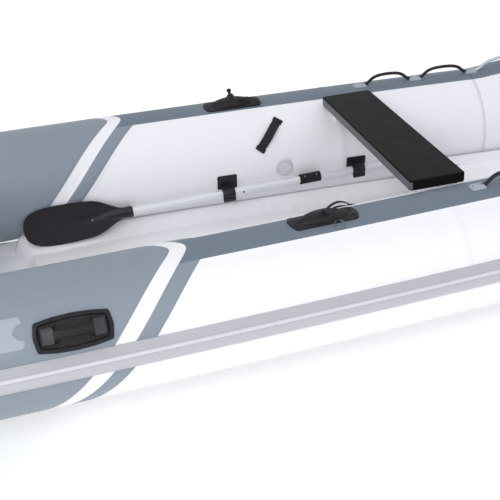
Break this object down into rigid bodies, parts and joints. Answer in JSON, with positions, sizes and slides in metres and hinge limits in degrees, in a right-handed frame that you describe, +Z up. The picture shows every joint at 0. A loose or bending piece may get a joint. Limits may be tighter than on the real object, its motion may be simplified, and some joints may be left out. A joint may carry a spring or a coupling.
{
  "type": "inflatable dinghy",
  "caption": "Rigid inflatable dinghy with V hull, grey and white tubes, thwart, bow locker, stowed oars, oarlocks, lifelines and carrying handles.",
  "frame": {"origin": "on the surface that the keel stands on, halfway along and on the centreline", "axes": "+X towards the bow, +Y to port, +Z up"},
  "size_m": [3.3996, 1.6296, 0.6476],
  "materials": {
    "tube_fabric": "satin coated fabric, white with grey panels",
    "grey_fabric": "satin coated fabric",
    "gelcoat": "gloss gelcoat",
    "gelcoat_wood": "plywood under gloss gelcoat",
    "black_rubber": "moulded matt",
    "strake_rubber": "extruded satin",
    "white_rubber": "extruded satin",
    "black_plastic": "moulded matt",
    "stainless": "polished",
    "oar_alloy": "satin anodised",
    "webbing": "woven",
    "valve_plastic": "moulded satin",
    "seat_finish": "satin painted board",
    "rope": "braided",
    "grey_patch": "satin coated fabric"
  },
  "bodies": {
    "hull": {"baffles": "tube_fabric", "bonded_patches": "grey_patch", "bow_eye": "stainless", "bow_handle_grip": "black_rubber", "bow_handle_tray": "black_rubber", "bow_locker": "gelcoat", "bow_tube": "tube_fabric", "clip_hooks": "black_rubber", "cone_caps": "black_rubber", "cone_port": "grey_fabric", "cone_starboard": "grey_fabric", "deck_floor": "gelcoat", "drain_bush": "stainless", "grab_straps": "webbing", "handle_grip_port": "black_rubber", "handle_grip_starboard": "black_rubber", "handle_tray_port": "black_rubber", "handle_tray_starboard": "black_rubber", "hull_shell": "gelcoat", "lifeline_port": "rope", "lifeline_starboard": "rope", "oar_clips": "black_rubber", "oarlock_pad_port": "black_rubber", "oarlock_pad_starboard": "black_rubber", "oarlock_straps": "black_rubber", "seat_cleats": "tube_fabric", "side_flange_port": "gelcoat", "side_flange_starboard": "gelcoat", "strake_bow": "strake_rubber", "strake_inserts": "white_rubber", "strake_port": "strake_rubber", "strake_starboard": "strake_rubber", "transom": "gelcoat_wood", "transom_pads": "black_rubber", "tube_port": "tube_fabric", "tube_starboard": "tube_fabric", "valve_bodies": "valve_plastic"},
    "locker_lid": {"locker_lid": "gelcoat"},
    "drain_plug": {"drain_plug": "black_rubber"},
    "seat": {"seat_board": "seat_finish"},
    "oarlock_pin_port": {"oarlock_pin_port": "black_plastic"},
    "pin_ring_port": {"pin_ring_port": "stainless"},
    "oar_port": {"oar_blade_port": "black_plastic", "oar_shaft_lower_port": "oar_alloy", "oar_shaft_upper_port": "oar_alloy", "oar_collar_port": "black_rubber", "oar_grip_port": "black_plastic"},
    "oar_button_port": {"oar_button_port": "stainless"},
    "valve_cap_port": {"valve_cap_port": "valve_plastic"},
    "valve_poppet_port": {"valve_poppet_port": "valve_plastic"},
    "oarlock_pin_starboard": {"oarlock_pin_starboard": "black_plastic"},
    "pin_ring_starboard": {"pin_ring_starboard": "stainless"},
    "oar_starboard": {"oar_blade_starboard": "black_plastic", "oar_shaft_lower_starboard": "oar_alloy", "oar_shaft_upper_starboard": "oar_alloy", "oar_collar_starboard": "black_rubber", "oar_grip_starboard": "black_plastic"},
    "oar_button_starboard": {"oar_button_starboard": "stainless"},
    "valve_cap_starboard": {"valve_cap_starboard": "valve_plastic"},
    "valve_poppet_starboard": {"valve_poppet_starboard": "valve_plastic"}
  },
  "joints": [
    {"name": "locker_lid_hinge", "type": "hinge", "parent": "hull", "child": "locker_lid", "pos_m": [0.985, 0, 0.274], "axis": [0, 1, 0], "range_deg": [0, 100]},
    {"name": "drain_plug_pull", "type": "slide", "parent": "hull", "child": "drain_plug", "axis": [-1, 0, 0], "range_m": [0, 0.04]},
    {"name": "seat_lift", "type": "slide", "parent": "hull", "child": "seat", "axis": [0, 0, 1], "range_m": [0, 0.1]},
    {"name": "oarlock_pin_port_swivel", "type": "hinge", "parent": "hull", "child": "oarlock_pin_port", "pos_m": [-0.12941, 0.55652, 0.57814], "axis": [0.0302, 0.7654, 0.6428], "range_deg": [-90, 90]},
    {"name": "pin_ring_port_swing", "type": "hinge", "parent": "hull", "child": "pin_ring_port", "pos_m": [-0.09567, 0.5745, 0.55133], "axis": [0.9992, -0.0395, 0], "range_deg": [0, 105]},
    {"name": "oar_port_slide", "type": "slide", "parent": "hull", "child": "oar_port", "axis": [0.9978, -0.0504, 0.0437], "range_m": [0, 0.12]},
    {"name": "oar_button_port_press", "type": "slide", "parent": "oar_port", "child": "oar_button_port", "axis": [0.0503, 0.9987, 0.0022], "range_m": [0, 0.004], "stiffness_N_per_m": 300},
    {"name": "valve_cap_port_turn", "type": "hinge", "parent": "hull", "child": "valve_cap_port", "pos_m": [0.01918, 0.31015, 0.32725], "axis": [-0.0436, -0.999, -0.0122], "range_deg": [0, 90]},
    {"name": "valve_poppet_port_press", "type": "slide", "parent": "hull", "child": "valve_poppet_port", "axis": [0.0436, 0.999, 0.0122], "range_m": [0, 0.0035], "stiffness_N_per_m": 250},
    {"name": "oarlock_pin_starboard_swivel", "type": "hinge", "parent": "hull", "child": "oarlock_pin_starboard", "pos_m": [-0.12941, -0.55652, 0.57814], "axis": [0.0302, -0.7654, 0.6428], "range_deg": [-90, 90]},
    {"name": "pin_ring_starboard_swing", "type": "hinge", "parent": "hull", "child": "pin_ring_starboard", "pos_m": [-0.09567, -0.5745, 0.55133], "axis": [-0.9992, -0.0395, 0], "range_deg": [0, 105]},
    {"name": "oar_starboard_slide", "type": "slide", "parent": "hull", "child": "oar_starboard", "axis": [0.9978, 0.0504, 0.0437], "range_m": [0, 0.12]},
    {"name": "oar_button_starboard_press", "type": "slide", "parent": "oar_starboard", "child": "oar_button_starboard", "axis": [0.0503, -0.9987, 0.0022], "range_m": [0, 0.004], "stiffness_N_per_m": 300},
    {"name": "valve_cap_starboard_turn", "type": "hinge", "parent": "hull", "child": "valve_cap_starboard", "pos_m": [0.01918, -0.31015, 0.32725], "axis": [-0.0436, 0.999, -0.0122], "range_deg": [0, 90]},
    {"name": "valve_poppet_starboard_press", "type": "slide", "parent": "hull", "child": "valve_poppet_starboard", "axis": [0.0436, -0.999, 0.0122], "range_m": [0, 0.0035], "stiffness_N_per_m": 250}
  ]
}
